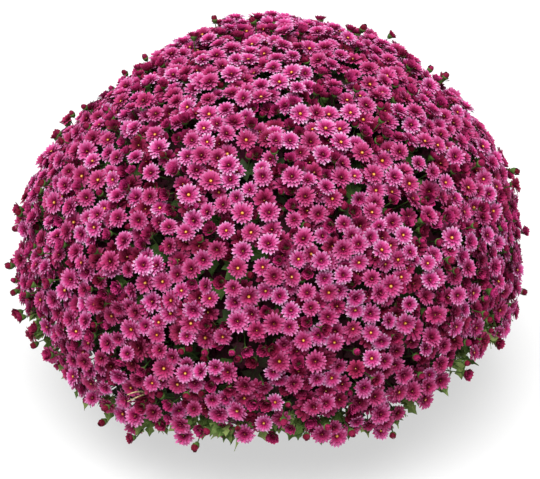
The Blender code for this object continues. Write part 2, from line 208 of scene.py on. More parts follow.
# Twigs from the fork to knots under the blooms, and the stalks and calyxes of the heads
TWIGS_PER_SPRAY = 8
GROUPING_ROUNDS = 8
TWIG_LEAN = 0.4
TWIG_RADII = (3, 1.8)
KNOT_DEPTH = 70
STALK_RADII = (1.3, 1.0, 0.8)
STALK_STRAIGHT = 30
STALK_END = 4
CALYX_TINT = 0.1

# The pot, the soil and the crown, as in the CAD part
POT_HEIGHT = 165
POT_TOP = 108
POT_FOOT = 82
POT_WALL = 2.2
POT_FLOOR = 3
LIP_HEIGHT = 20
LIP_STEP = 3.5
DRAIN_HOLES = 5
DRAIN_RADIUS = 5
DRAIN_RING = 52
SOIL_Z = 150
SOIL_CROWNING = 4
CROWN_FOOT_Z = 95
CROWN_STEM = 11
CROWN_BALL = 29
CROWN_BALL_Z = 215

# What scene.py adds to them: rounded edges, crumbs and a rough surface
LATHE_SIDES = 96
EDGE_ROUNDING = 1.1
MOST_ROUNDING = 0.45
ROUNDING_POINTS = 4
DRAIN_SIDES = 48
SOIL_GAP = 0.3
SOIL_EDGE = 1
SOIL_RINGS = 26
SOIL_ROUGHNESS = 0.6
CRUMB_COUNT = 500
CRUMB_REACH = 0.98
CRUMB_AREAS = (0.02, 1)
CRUMB_LIFT = 0.4
CRUMB_SIZES = (1.2, 3.6)
CROWN_SIDES = 64
CROWN_STEM_RINGS = 22
CROWN_BALL_RINGS = 30
CROWN_BALL_FROM = -66
CROWN_SUNK = 0.95
BARK_DEPTH = 1.6
BARK_WAVES = 6
BARK_PITCH = 0.12

# The dry twig: its foot, how far its blades reach and bend in X and Y, and how far each of them rises
DRY_TWIG_FOOT = (-140, -248, 143)
DRY_TWIG_REACH = (-21, -31)
DRY_TWIG_BEND = (-8, -19)
DRY_TWIG_RISES = (17, 8)
DRY_TWIG_RADII = (1.3, 0.5)

# Seeds of the random draws. A spray's stems add the spray's number to theirs.
BLOOM_SEED = 8
FILL_SEED = 5
STRAY_SEED = 12
HEAD_SEED = 31
PETAL_SEED = 77
STEM_SEED = 100
LEAF_SEED = 63
LEAF_SHAPE_SEED = 9
SOIL_SEED = 41
BARK_SEED = 42


class Dome:
    """The plant's outline turned about its axis, measured along the surface from the top to the rim."""

    def __init__(self):
        step = math.radians(OUTLINE_STEP)
        upper = np.arange(0, math.pi / 2, step)
        drop = DOME_DROP * np.sin(np.arange(0, math.radians(LOWER_REACH), step))
        lower = DOME_RADIUS * (1 - (drop / DOME_DROP) ** LOWER_CURVE) ** (1 / LOWER_CURVE)
        self.radius = np.append(DOME_RADIUS * np.sin(upper), lower)
        self.height = np.append(WIDEST_Z + DOME_RISE * np.cos(upper), WIDEST_Z - drop)
        length = np.hypot(np.diff(self.radius), np.diff(self.height))
        middle = (self.radius[1:] + self.radius[:-1]) / 2
        self.distance = np.append(0, np.cumsum(length))
        self.area = np.append(0, np.cumsum(2 * math.pi * middle * length))
        self.rim = float(np.interp(-RIM_Z, -self.height, self.distance))
        self.rim_area = float(np.interp(self.rim, self.distance, self.area))

    def at(self, distance, azimuth, lift):
        """Points on the surface, raised by lift along the normals, and the normals."""
        nudge = self.distance[2]
        radii = [np.interp(distance + way, self.distance, self.radius) for way in (-nudge, nudge)]
        heights = [np.interp(distance + way, self.distance, self.height) for way in (-nudge, nudge)]
        run = radii[1] - radii[0]
        drop = heights[0] - heights[1]
        length = np.hypot(run, drop)
        level = drop / length
        normals = np.stack([level * np.cos(azimuth), level * np.sin(azimuth), run / length], axis=1)
        turns = distance / DOME_RADIUS
        waves = [
            strength * np.sin(around * azimuth + down * turns + start)
            for around, down, start, strength in LUMP_WAVES
        ]
        dent = DENT_DEPTH * np.exp((normals @ DENT_WAY - 1) / DENT_BREADTH)
        radius = (radii[0] + radii[1]) / 2
        height = (heights[0] + heights[1]) / 2
        points = np.stack([radius * np.cos(azimuth), radius * np.sin(azimuth), height], axis=1)
        return points + normals * (lift + LUMP * sum(waves) - dent)[:, None], normals

    def lowest(self, azimuth):
        """The height of the last blooms at each azimuth."""
        azimuths, lifts = zip(*RIM_LIFTS)
        turned = np.degrees(np.arctan2(np.sin(azimuth), np.cos(azimuth)))
        return RIM_Z + np.interp(turned, azimuths, lifts)

    def drawn_up(self, distance, azimuth):
        """Distances from the top, shortened towards the rim where the last blooms stand higher."""
        rim = np.interp(-self.lowest(azimuth), -self.height, self.distance)
        share = np.clip((distance / self.rim - RIM_BAND) / (1 - RIM_BAND), 0, 1)
        return distance - (self.rim - rim) * share**2

    def spiral(self, count):
        """Evenly spread places as distances and azimuths."""
        share = (np.arange(count) + 0.5) / count
        azimuth = np.arange(count) * GOLDEN_ANGLE
        distance = np.interp(share * self.rim_area, self.area, self.distance)
        return self.drawn_up(distance, azimuth), azimuth

    def anywhere(self, rng, count, after=0.0):
        """Places at random, past a share of the area that is measured from the top."""
        share = rng.uniform(after, 1, count)
        azimuth = rng.uniform(0, 2 * math.pi, count)
        distance = np.interp(share * self.rim_area, self.area, self.distance)
        return self.drawn_up(distance, azimuth), azimuth

    def apart(self, rng, count, tries, heights, taken=np.empty((0, 3))):
        """Points and normals, each the furthest of several random tries from those that stand already."""
        points = np.empty((count + len(taken), 3))
        normals = np.empty((count, 3))
        points[:len(taken)] = taken
        for i in range(count):
            choice, facing = self.at(*self.anywhere(rng, tries), rng.uniform(*heights, tries))
            standing = points[:len(taken) + i]
            best = 0
            if len(standing):
                gaps = ((choice[:, None, :] - standing[None]) ** 2).sum(axis=2).min(axis=1)
                best = int(gaps.argmax())
            points[len(taken) + i] = choice[best]
            normals[i] = facing[best]
        return points[len(taken):], normals


class Shape:
    """Triangles, with three numbers at each point that the materials read: tone, across and tint."""

    def __init__(self, points, faces, tone=0.0, across=0.0):
        self.points = np.asarray(points, float).reshape(-1, 3)
        self.faces = np.asarray(faces, int).reshape(-1, 3)
        self.marks = np.zeros((len(self.points), 3))
        self.marks[:, 0] = tone
        self.marks[:, 1] = across

    def turned(self, angle):
        """A copy turned about Z by an angle in radians."""
        made = Shape(self.points @ turn_about_z(angle).T, self.faces)
        made.marks = self.marks
        return made

    def copies(self, turns, origins, sizes, tints):
        """One copy for each turn, origin, size and tint, in one shape."""
        count, points = len(origins), len(self.points)
        placed = np.einsum("kij,nj->kni", turns, self.points) * np.reshape(sizes, (-1, 1, 1))
        placed += np.asarray(origins)[:, None, :]
        offsets = np.arange(count)[:, None, None] * points
        made = Shape(placed, self.faces[None] + offsets)
        made.marks = np.tile(self.marks, (count, 1))
        made.marks[:, 2] += np.repeat(tints, points)
        return made


def joined(shapes):
    """Several shapes as one."""
    starts = np.cumsum([0] + [len(shape.points) for shape in shapes[:-1]])
    faces = [shape.faces + start for shape, start in zip(shapes, starts)]
    made = Shape(np.concatenate([shape.points for shape in shapes]), np.concatenate(faces))
    made.marks = np.concatenate([shape.marks for shape in shapes])
    return made


def turn_about_z(angle):
    """The turn about Z by an angle in radians."""
    cosine, sine = math.cos(angle), math.sin(angle)
    return np.array([[cosine, -sine, 0], [sine, cosine, 0], [0, 0, 1]])


def normalised(vectors):
    """The same directions, with length 1."""
    return vectors / np.linalg.norm(vectors, axis=-1, keepdims=True)


def turns_to(facing, spin):
    """Turns that bring +Z to each facing direction, spun about it by an angle in radians."""
    z = normalised(facing)
    aside = np.where(np.abs(z[:, 2:3]) < NEARLY_UPRIGHT, UP, [1.0, 0.0, 0.0])
    x = normalised(np.cross(aside, z))
    y = np.cross(z, x)
    cosine, sine = np.cos(spin)[:, None], np.sin(spin)[:, None]
    return np.stack([x * cosine + y * sine, y * cosine - x * sine, z], axis=2)


def petal(length, width, foot, rise, fall, tones, roll):
    """One petal that leaves the bloom's axis along +X at foot, and bends from rise to fall above level."""
    stations = np.array(PETAL_STATIONS)
    angles = np.radians(rise + (fall - rise) * (stations[1:] + stations[:-1]) / 2)
    steps = np.diff(stations) * length
    x = foot + np.append(0, np.cumsum(steps * np.cos(angles)))
    z = np.append(0, np.cumsum(steps * np.sin(angles)))
    points = [(x[0], 0, z[0])]
    marks = [(tones[0], 0)]
    for i, sides in ((1, (-1, 1)), (2, (-1, 0, 1))):
        half = width / 2 * PETAL_WIDTHS[i - 1]
        lean = math.radians(rise + (fall - rise) * stations[i])
        for side in sides:
            lift = abs(side) * half * PETAL_FOLD + side * half * roll
            points.append((x[i] - math.sin(lean) * lift, side * half, z[i] + math.cos(lean) * lift))
            marks.append((tones[i], side))
    points.append((x[3], 0, z[3]))
    marks.append((tones[3], 0))
    faces = [(0, 1, 2), (1, 3, 4), (1, 4, 2), (2, 4, 5), (3, 6, 4), (4, 6, 5)]
    tone, across = np.array(marks).T
    return Shape(points, faces, tone, across)


def flap(length, width, foot, rise, fall, tones, roll):
    """A plain flat petal for the back of a bloom, made of two triangles."""
    middle, end = [math.radians((1 - bent) * rise + bent * fall) for bent in FLAP_BENDS]
    wide = FLAP_WIDEST * length
    x, z = foot + wide * math.cos(middle), wide * math.sin(middle)
    tip = (x + (length - wide) * math.cos(end), 0, z + (length - wide) * math.sin(end))
    twist = roll * width / 2
    points = [(foot, 0, 0), (x, -width / 2, z - twist), (x, width / 2, z + twist), tip]
    return Shape(points, [(0, 1, 2), (1, 3, 2)], np.array((tones[0], tones[1], tones[1], tones[3])))


def petal_row(rng, count, length, width, foot, rise, fall, tones, made=petal):
    """A ring of petals, no two quite alike."""
    row = []
    start = rng.uniform(0, 2 * math.pi)
    for i in range(count):
        longer = rng.uniform(*PETAL_LENGTHS)
        steeper = rng.uniform(*PETAL_STEEPER)
        paler = rng.uniform(*PETAL_PALER)
        own_tones = [tone + paler for tone in tones]
        roll = rng.uniform(*PETAL_ROLLS)
        one = made(length * longer, width, foot, rise + steeper, fall + steeper, own_tones, roll)
        row.append(one.turned(start + (i + rng.uniform(*PETAL_STRAYS)) * 2 * math.pi / count))
    return row


BACK_TONES = (0.05, 0.22, 0.3, 0.5)
OUTER_TONES = (0.05, 0.42, 0.84, 1.0)
MIDDLE_TONES = (0.0, 0.3, 0.7, 0.92)
INNER_TONES = (0.0, 0.14, 0.42, 0.75)
HEART_TONES = (0.0, 0.08, 0.24, 0.48)
CUP_TONES = (0.0, 0.12, 0.3, 0.62)
CUP_HEART_TONES = (0.0, 0.05, 0.15, 0.3)
BUD_TONES = (0.0, 0.04, 0.1, 0.16)

# The kinds of head, as rows of petals from the outside in: how many, length, width, how far from the axis
# they leave, their angles above level at foot and tip, and their tones. A row of flaps says so.

# A full bloom with its eye showing
OPEN_ROWS = (
    (8, 11.6, 6.4, 1.8, 16, -6, BACK_TONES, flap),
    (18, 12.8, 3.4, 1.8, 26, 2, OUTER_TONES),
    (15, 11.2, 3.1, 1.6, 42, 20, MIDDLE_TONES),
    (11, 8.6, 2.8, 1.5, 58, 40, INNER_TONES),
)

# A full bloom whose heart is still closed
FULL_ROWS = (
    (8, 11.4, 6.4, 1.8, 18, -4, BACK_TONES, flap),
    (17, 12.6, 3.4, 1.8, 28, 4, OUTER_TONES),
    (15, 11.2, 3.1, 1.6, 44, 24, MIDDLE_TONES),
    (12, 9.0, 2.9, 1.4, 60, 46, INNER_TONES),
    (6, 6.6, 2.7, 1.0, 74, 74, HEART_TONES),
)

# A bloom set back in the shade of others, its petals in darker tones as painted shade
DEEP_ROWS = (
    (12, 11.2, 4.4, 1.8, 24, 4, MIDDLE_TONES),
    (10, 9.4, 3.6, 1.5, 46, 30, INNER_TONES),
    (6, 6.8, 3.0, 1.0, 70, 70, HEART_TONES),
)

# A half open bloom, a dark cup with paler tips
CUP_ROWS = (
    (12, 11.0, 4.8, 2.0, 36, 70, CUP_TONES),
    (9, 10.0, 4.2, 1.6, 52, 82, CUP_TONES),
    (6, 8.0, 3.4, 1.0, 66, 95, CUP_HEART_TONES),
)

# A bud that shows colour, its petals closed over the top
BUD_ROWS = (
    (8, 11.0, 4.8, 3.0, 42, 160, BUD_TONES),
    (6, 9.6, 4.2, 1.6, 60, 150, BUD_TONES),
)

HEAD_KINDS = (OPEN_ROWS, FULL_ROWS, DEEP_ROWS, CUP_ROWS, BUD_ROWS)
OPEN, FULL, DEEP, CUP, BUD = range(len(HEAD_KINDS))


def heart():
    """The dark middle that the petals leave."""
    return rings([(3.6, 0.1), (0, -0.3)], sides=6)


def flower_head(rng, rows):
    """A flower head of one kind, its rows of petals round a heart."""
    petals = [one for row in rows for one in petal_row(rng, *row)]
    return joined([heart()] + petals)


def rings(profile, sides, tones=0.0):
    """A closed-topped turned shape: profile is (radius, height) pairs, bottom first, the last on the axis."""
    points, faces, marks = [], [], []
    tones = np.full(len(profile), 0.0) + tones
    for level, (radius, height) in enumerate(profile[:-1]):
        for i in range(sides):
            angle = 2 * math.pi * (i + 0.5 * (level % 2)) / sides
            points.append((radius * math.cos(angle), radius * math.sin(angle), height))
            marks.append(tones[level])
    for level in range(len(profile) - 2):
        for i in range(sides):
            a, b = level * sides + i, level * sides + (i + 1) % sides
            c, d = a + sides, b + sides
            faces += [(a, b, c), (b, d, c)]
    points.append((0, 0, profile[-1][1]))
    marks.append(tones[-1])
    last = len(points) - 1
    top = (len(profile) - 2) * sides
    faces += [(top + i, top + (i + 1) % sides, last) for i in range(sides)]
    return Shape(points, faces, np.array(marks))


def eye():
    """The disc of tiny florets in the middle of an open bloom."""
    profile = [(2.4, 0.4), (2.2, 2.0), (1.4, 3.0), (0.8, 2.8), (0, 3.4)]
    return rings(profile, sides=8, tones=(0.0, 0.15, 0.7, 0.9, 0.8))


def dot():
    """The pale tip of a closed heart."""
    return rings([(0.8, 2.0), (0.7, 3.6), (0, 4.4)], sides=5, tones=(0.4, 0.75, 1.0))


def low_calyx():
    """The green cup under an open bloom, down to its stalk."""
    profile = [(0.8, -5.0), (2.8, -3.0), (3.7, -0.3), (0, -0.6)]
    return rings(profile, sides=5, tones=(0.2, 0.5, 0.8, 0.8))


def high_calyx():
    """The green cup that holds a bud or a half open bloom."""
    profile = [(0.8, -4.4), (3.0, -2.6), (4.4, 0.2), (4.9, 2.8), (0, -0.6)]
    return rings(profile, sides=6, tones=(0.2, 0.5, 0.7, 0.9, 0.5))


DEEP_LEAF_OUTLINE = ((0.0, 0.02), (0.3, 0.22), (0.55, 0.3), (0.8, 0.16), (1.0, 0.0))
LEAF_OUTLINE = (
    (0.0, 0.015), (0.16, 0.03), (0.22, 0.2), (0.33, 0.11), (0.46, 0.32),
    (0.57, 0.14), (0.72, 0.25), (0.82, 0.11), (1.0, 0.0),
)


def leaf(outline, curl, fold, sway):
    """One leaf of unit length along +X, its face to +Z, with a rib from end to end."""
    x, half = np.array(outline).T
    count = len(x)
    points, tone, across = [], [], []
    for side in (-1, 0, 1):
        for place, width in zip(x, half):
            ripple = LEAF_RIPPLE * side * math.sin(LEAF_RIPPLES * place)
            y = side * width + sway * place * (1 - place)
            points.append((place, y, -curl * place * place + fold * abs(side) * width + ripple))
            tone.append(place)
            across.append(side * width / max(half))
    faces = []
    for i in range(count - 1):
        for a, b in ((0, count), (count, 2 * count)):
            faces += [(a + i, b + i + 1, b + i), (a + i, a + i + 1, b + i + 1)]
    # At the tip the three lines meet, and the triangles between them have no area.
    used = [face for face in faces if len({tuple(np.round(points[i], 6)) for i in face}) == 3]
    return Shape(points, used, np.array(tone), np.array(across))


def skin(levels, sides):
    """The triangles between rings of points that follow one another."""
    faces = []
    for level in range(levels - 1):
        for i in range(sides):
            a, b = level * sides + i, level * sides + (i + 1) % sides
            faces += [(a, b, b + sides), (a, b + sides, a + sides)]
    return faces


def tube(path, radii, sides, tone=0.0):
    """A round stem along a path of points, open at both ends."""
    path = np.asarray(path, float)
    along = normalised(np.gradient(path, axis=0))
    aside = UP if abs(along[0][2]) < NEARLY_UPRIGHT else np.array([1.0, 0, 0])
    x = normalised(np.cross(aside, along))
    y = np.cross(along, x)
    angles = 2 * math.pi * np.arange(sides) / sides
    ring = x[:, None, :] * np.cos(angles)[None, :, None] + y[:, None, :] * np.sin(angles)[None, :, None]
    points = path[:, None, :] + ring * np.reshape(radii, (-1, 1, 1))
    return Shape(points, skin(len(path), sides), tone)


def bend(start, leaving, end, count):
    """Points on a smooth bend from start to end, which leaves start towards leaving."""
    t = np.linspace(0, 1, count)[:, None]
    return (1 - t) ** 2 * start + 2 * t * (1 - t) * leaving + t**2 * end


class Paint:
    """A Principled material, with short ways to add the nodes that vary it."""

    def __init__(self, name, **finish):
        self.material = bpy.data.materials.new(name)
        self.material.use_nodes = True
        self.tree = self.material.node_tree
        self.shader = self.tree.nodes["Principled BSDF"]
        for key, value in finish.items():
            socket = key.replace("_", " ").title().replace("Ior", "IOR")
            self.shader.inputs[socket].default_value = value

    def node(self, kind, inputs, **settings):
        """Adds a node, and sets its inputs or links them to other nodes."""
        made = self.tree.nodes.new(kind)
        for setting, value in settings.items():
            setattr(made, setting, value)
        for socket, value in inputs.items():
            if isinstance(value, bpy.types.NodeSocket):
                self.tree.links.new(value, made.inputs[socket])
            else:
                made.inputs[socket].default_value = value
        return made

    def read(self, name):
        """One of the three numbers that a shape keeps at its points."""
        return self.node("ShaderNodeAttribute", {}, attribute_name=name).outputs["Fac"]

    def math(self, operation, first, second=0.0):
        return self.node("ShaderNodeMath", {0: first, 1: second}, operation=operation).outputs[0]

    def noise(self, scale, detail=3.0):
        place = self.node("ShaderNodeTexCoord", {}).outputs["Object"]
        inputs = {"Vector": place, "Scale": scale, "Detail": detail}
        return self.node("ShaderNodeTexNoise", inputs).outputs["Fac"]

    def mottle(self, scale, strength):
        """Noise that lies evenly about zero."""
        return self.math("MULTIPLY", self.math("SUBTRACT", self.noise(scale), 0.5), strength)

    def ramp(self, value, stops):
        made = self.node("ShaderNodeValToRGB", {"Fac": value})
        elements = made.color_ramp.elements
        while len(elements) < len(stops):
            elements.new(0.5)
        for element, (place, colour) in zip(elements, stops):
            element.position = place
            element.color = (*colour, 1)
        return made.outputs["Color"]

    def mix(self, share, first, second):
        inputs = {0: share, 6: first, 7: second}
        return self.node("ShaderNodeMix", inputs, data_type="RGBA").outputs[2]

    def shift(self, colour, hue, value):
        return self.node("ShaderNodeHueSaturation", {"Color": colour, "Hue": hue, "Value": value}).outputs[0]

    def scaled(self, value, low, high):
        """A value between -1 and 1, brought between low and high."""
        inputs = {"Value": value, "From Min": -1.0, "From Max": 1.0, "To Min": low, "To Max": high}
        return self.node("ShaderNodeMapRange", inputs).outputs[0]

    def bump(self, height, distance, strength=1.0):
        inputs = {"Height": height, "Distance": distance, "Strength": strength}
        self.link(self.node("ShaderNodeBump", inputs).outputs[0], "Normal")

    def link(self, value, socket):
        self.tree.links.new(value, self.shader.inputs[socket])


# Petal colours from the heart to the tip, ribs across a petal, and how strongly they streak it
PETAL_STOPS = (
    (0.0, (0.13, 0.001, 0.018)),
    (0.3, (0.335, 0.015, 0.09)),
    (0.6, (0.45, 0.056, 0.185)),
    (0.85, (0.455, 0.14, 0.293)),
    (1.0, (0.48, 0.29, 0.408)),
)
PETAL_RIBS = 9.0
STREAK_STRENGTH = 0.035


def petal_material():
    paint = Paint("petals", roughness=0.7, specular_ior_level=0.12)
    ribs = paint.math("SINE", paint.math("MULTIPLY", paint.read("across"), PETAL_RIBS))
    streaks = paint.math("MULTIPLY", ribs, STREAK_STRENGTH)
    texture = paint.math("ADD", streaks, paint.mottle(scale=260.0, strength=0.3))
    # The tint differs at random, and carries painted light on heads facing up and painted shade on those
    # between.
    tint = paint.read("tint")
    tone = paint.math("MULTIPLY", paint.read("tone"), paint.scaled(tint, low=0.62, high=1.06))
    colour = paint.ramp(paint.math("ADD", tone, texture), PETAL_STOPS)
    hue = paint.scaled(tint, low=0.508, high=0.49)
    value = paint.scaled(tint, low=0.68, high=1.09)
    paint.link(paint.shift(colour, hue, value), "Base Color")
    paint.bump(ribs, distance=0.0002, strength=0.5)
    return paint.material


EYE_STOPS = (
    (0.0, (0.12, 0.004, 0.01)),
    (0.35, (0.28, 0.03, 0.005)),
    (0.7, (0.52, 0.19, 0.01)),
    (1.0, (0.68, 0.45, 0.16)),
)


def eye_material():
    paint = Paint("eyes", roughness=0.7, specular_ior_level=0.2)
    tone = paint.math("ADD", paint.read("tone"), paint.mottle(scale=900.0, strength=1.0))
    paint.link(paint.ramp(tone, EYE_STOPS), "Base Color")
    paint.bump(paint.noise(1800.0), distance=0.0006)
    return paint.material


# Leaf colours from painted shade, dark crimson to near black, to fresh green, and the veins and the rib that
# are paler
LEAF_AND_SHADE_STOPS = (
    (0.0, (0.05, 0.002, 0.015)),
    (0.28, (0.022, 0.010, 0.009)),
    (0.45, (0.018, 0.034, 0.010)),
    (0.75, (0.060, 0.110, 0.022)),
    (1.0, (0.19, 0.245, 0.075)),
)
VEIN_PITCH = 40.0
VEIN_SLANT = 9.0
VEIN_SHARPNESS = 6.0
VEIN_STRENGTH = 0.35
RIB_SHARPNESS = 9.0
LINE_PALENESS = 0.12


def leaf_material():
    paint = Paint("leaves", roughness=0.65, specular_ior_level=0.12)
    across = paint.read("across")
    along = paint.math("MULTIPLY", paint.read("tone"), VEIN_PITCH)
    slant = paint.math("SUBTRACT", along, paint.math("MULTIPLY", across, VEIN_SLANT))
    veins = paint.math("POWER", paint.math("ABSOLUTE", paint.math("SINE", slant)), VEIN_SHARPNESS)
    from_rib = paint.math("MULTIPLY", paint.math("ABSOLUTE", across), RIB_SHARPNESS)
    rib = paint.math("SUBTRACT", 1.0, from_rib)
    lines = paint.math("MAXIMUM", rib, paint.math("MULTIPLY", veins, VEIN_STRENGTH))
    spots = paint.mottle(scale=90.0, strength=0.5)
    # The tint darkens the deeper layers as painted shade, and differs at random from leaf to leaf.
    shade = paint.math("ADD", paint.scaled(paint.read("tint"), low=0.0, high=1.0), spots)
    shade = paint.math("ADD", shade, paint.math("MULTIPLY", lines, LINE_PALENESS))
    paint.link(paint.ramp(shade, LEAF_AND_SHADE_STOPS), "Base Color")
    paint.bump(paint.math("SUBTRACT", paint.noise(400.0), lines), distance=0.0006, strength=0.6)
    return paint.material


BARK_STOPS = ((0.3, (0.07, 0.05, 0.03)), (0.7, (0.22, 0.16, 0.10)))
SOIL_STOPS = ((0.35, (0.012, 0.008, 0.006)), (0.6, (0.05, 0.03, 0.02)), (0.8, (0.10, 0.07, 0.05)))
MOSS_STOPS = ((0.3, (0.02, 0.035, 0.006)), (0.7, (0.07, 0.11, 0.02)))
MOSS_PATCHES = ((0.56, (0, 0, 0)), (0.66, (1, 1, 1)))
STRAW_STOPS = ((0.3, (0.30, 0.20, 0.08)), (0.7, (0.62, 0.50, 0.28)))
POT_STOPS = ((0.35, (0.038, 0.036, 0.035)), (0.7, (0.055, 0.053, 0.051)))
POT_ROUGHNESS = ((0.3, (0.42, 0.42, 0.42)), (0.7, (0.6, 0.6, 0.6)))


def bark_material():
    paint = Paint("bark", roughness=0.85)
    paint.link(paint.ramp(paint.noise(160.0, detail=6.0), BARK_STOPS), "Base Color")
    paint.bump(paint.noise(300.0, detail=6.0), distance=0.002)
    return paint.material


def soil_material():
    paint = Paint("soil", roughness=0.95)
    earth = paint.ramp(paint.noise(350.0, detail=6.0), SOIL_STOPS)
    moss = paint.ramp(paint.noise(700.0, detail=4.0), MOSS_STOPS)
    paint.link(paint.mix(paint.ramp(paint.noise(28.0), MOSS_PATCHES), earth, moss), "Base Color")
    paint.bump(paint.noise(500.0, detail=8.0), distance=0.003)
    return paint.material


def straw_material():
    paint = Paint("straw", roughness=0.8)
    paint.link(paint.ramp(paint.noise(500.0, detail=4.0), STRAW_STOPS), "Base Color")
    paint.bump(paint.noise(900.0, detail=4.0), distance=0.0005)
    return paint.material


def pot_material():
    paint = Paint("pot")
    paint.link(paint.ramp(paint.noise(60.0, detail=5.0), POT_STOPS), "Base Color")
    paint.link(paint.ramp(paint.noise(40.0, detail=5.0), POT_ROUGHNESS), "Roughness")
    paint.bump(paint.noise(1400.0, detail=2.0), distance=0.0002)
    return paint.material


def piece(name, shape, material, replaced=()):
    """Makes the mesh of a shape, and has it ride on the plant's one body."""
    mesh = bpy.data.meshes.new(name)
    mesh.from_pydata(shape.points * MM, [], shape.faces)
    mesh.shade_smooth()
    for column, mark in enumerate(("tone", "across", "tint")):
        values = mesh.attributes.new(mark, "FLOAT", "POINT")
        values.data.foreach_set("value", shape.marks[:, column].astype(np.float32))
    mesh.materials.append(material)
    made = bpy.data.objects.new(name, mesh)
    bpy.context.scene.collection.objects.link(made)
    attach(made, "root")
    if replaced:
        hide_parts(*replaced)


def tilted(rng, normals, tilt):
    """Normals turned to the light, the low ones most, and a little at random."""
    lift = LOW_LIFT * np.clip(-normals[:, 2:], 0, 1)
    return normalised(normals + LIGHT_WAY * TURN_TO_LIGHT + UP * lift + rng.normal(0, tilt, normals.shape))


def density(dome, points, normals):
    """The share of the heads that stay: fewer low on the plant and on its sparse side."""
    above_rim = points[:, 2] - dome.lowest(np.arctan2(points[:, 1], points[:, 0]))
    sparse = 1 - (1 - SPARSE_SHARE) * np.exp((normals @ SPARSE_WAY - 1) / SPARSE_BREADTH)
    return np.interp(above_rim, THINNED_AT, THINNED_TO) * sparse


def bloom_places(dome):
    """Where the blooms that show stand, and the way each faces."""
    rng = np.random.default_rng(BLOOM_SEED)
    points, normals = dome.apart(rng, BLOOM_COUNT, BLOOM_TRIES, BLOOM_HEIGHTS)
    stays = rng.random(BLOOM_COUNT) < density(dome, points, normals)
    return points[stays], tilted(rng, normals[stays], BLOOM_TILT)


def fill_places(dome, taken):
    """The same for heads that are set back in the gaps among the blooms, which are darker with painted shade.
    """
    rng = np.random.default_rng(FILL_SEED)
    points, normals = dome.apart(rng, FILL_COUNT, FILL_TRIES, FILL_HEIGHTS, taken)
    stays = rng.random(FILL_COUNT) < density(dome, points, normals)
    return points[stays], tilted(rng, normals[stays], FILL_TILT)


def stray_places(dome, taken):
    """The same for strays, which stand out of the dome on longer stalks between the blooms."""
    rng = np.random.default_rng(STRAY_SEED)
    points, normals = dome.apart(rng, STRAY_COUNT, STRAY_TRIES, STRAY_HEIGHTS, taken)
    return points, tilted(rng, normals, STRAY_TILT)


def nearest_spray(points):
    """The number of the spray whose CAD blooms lie nearest to each point."""
    corners, owners = [], []
    for number in range(SPRAY_COUNT):
        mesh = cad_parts[f"spray_{number + 1:02d}_blooms"].data
        at = np.empty(len(mesh.vertices) * 3, np.float32)
        mesh.vertices.foreach_get("co", at)
        corners.append(at.reshape(-1, 3) / MM)
        owners.append(np.full(len(mesh.vertices), number))
    corners, owners = np.concatenate(corners), np.concatenate(owners)
    found = [owners[((corners - point) ** 2).sum(axis=1).argmin()] for point in points]
    return np.array(found)


class Heads:
    """Every flower head of the plant, and the spray that each belongs to."""

    def __init__(self, dome):
        rng = np.random.default_rng(HEAD_SEED)
        blooms = bloom_places(dome)
        groups = (blooms, fill_places(dome, blooms[0]), stray_places(dome, blooms[0]))
        self.points, self.facing = [np.concatenate(part) for part in zip(*groups)]
        counts = [len(points) for points, facing in groups]
        total = sum(counts)
        shares = zip(counts, (BLOOM_SHARES, FILL_SHARES, STRAY_SHARES))
        kinds = [rng.choice(len(HEAD_KINDS), count, p=share) for count, share in shares]
        self.kind = np.concatenate(kinds)
        self.variant = rng.integers(0, HEAD_VARIANTS, total)
        self.size = rng.uniform(*HEAD_SIZES, total)
        self.in_shade = np.repeat((False, True, False), counts)
        self.size[self.in_shade] *= FILL_SIZE
        self.tint = rng.uniform(*HEAD_TINTS, total)
        # Painted shade: fill heads and strays are darker.
        self.tint[counts[0]:] -= PAINTED_SHADE_BETWEEN
        # Painted light: heads that face up are paler, and those that face down darker.
        self.tint += PAINTED_LIGHT_ABOVE * self.facing[:, 2]
        self.turns = turns_to(self.facing, rng.uniform(0, 2 * math.pi, total))
        self.spray = nearest_spray(self.points)

    def copies(self, shape, chosen):
        """A copy of the shape at each chosen head."""
        return shape.copies(self.turns[chosen], self.points[chosen], self.size[chosen], self.tint[chosen])


def head_templates():
    """The variants of each kind of head."""
    rng = np.random.default_rng(PETAL_SEED)
    return [[flower_head(rng, rows) for _ in range(HEAD_VARIANTS)] for rows in HEAD_KINDS]


def spray_flowers(heads, templates, number):
    """The petals of every head in a spray."""
    parts = []
    for kind, variants in enumerate(templates):
        for variant, shape in enumerate(variants):
            alike = (heads.kind == kind) & (heads.variant == variant)
            parts.append(heads.copies(shape, np.flatnonzero(alike & (heads.spray == number))))
    return joined(parts)


def spray_eyes(heads, number):
    """The eyes of a spray's open blooms, and the pale dots of the ones whose heart is closed."""
    mine = heads.spray == number
    opened = np.flatnonzero(mine & (heads.kind == OPEN))
    closed = np.flatnonzero(mine & ((heads.kind == FULL) | (heads.kind == DEEP)))
    return joined([heads.copies(eye(), opened), heads.copies(dot(), closed)])


def grouped(points, count, rng):
    """The group that each point falls in, when the groups' middles have settled."""
    middles = points[rng.choice(len(points), count, replace=False)]
    for _ in range(GROUPING_ROUNDS):
        group = np.linalg.norm(points[:, None] - middles[None], axis=2).argmin(axis=1)
        for i in np.unique(group):
            middles[i] = points[group == i].mean(axis=0)
    return group


def main_stem(foot, fork, middle):
    """A spray's stem, from the crown to where it forks on the way to the middle of its heads."""
    path = bend(foot, foot + STEM_RISE * UP + STEM_LEAN * (middle - foot), fork, count=7)
    return tube(path, np.linspace(*STEM_RADII, len(path)), sides=7, tone=0.1)


def twig(fork, knot, middle):
    """A twig, from the fork to the knot where its stalks begin."""
    path = bend(fork, fork + TWIG_LEAN * (middle - fork), knot, count=5)
    return tube(path, np.linspace(*TWIG_RADII, len(path)), sides=5, tone=0.2)


def stalk(knot, point, facing):
    """The stalk of one head, from its knot to just under the head."""
    end = point - facing * STALK_END
    path = bend(knot, end - facing * STALK_STRAIGHT, end, len(STALK_RADII))
    return tube(path, STALK_RADII, sides=3, tone=0.4)


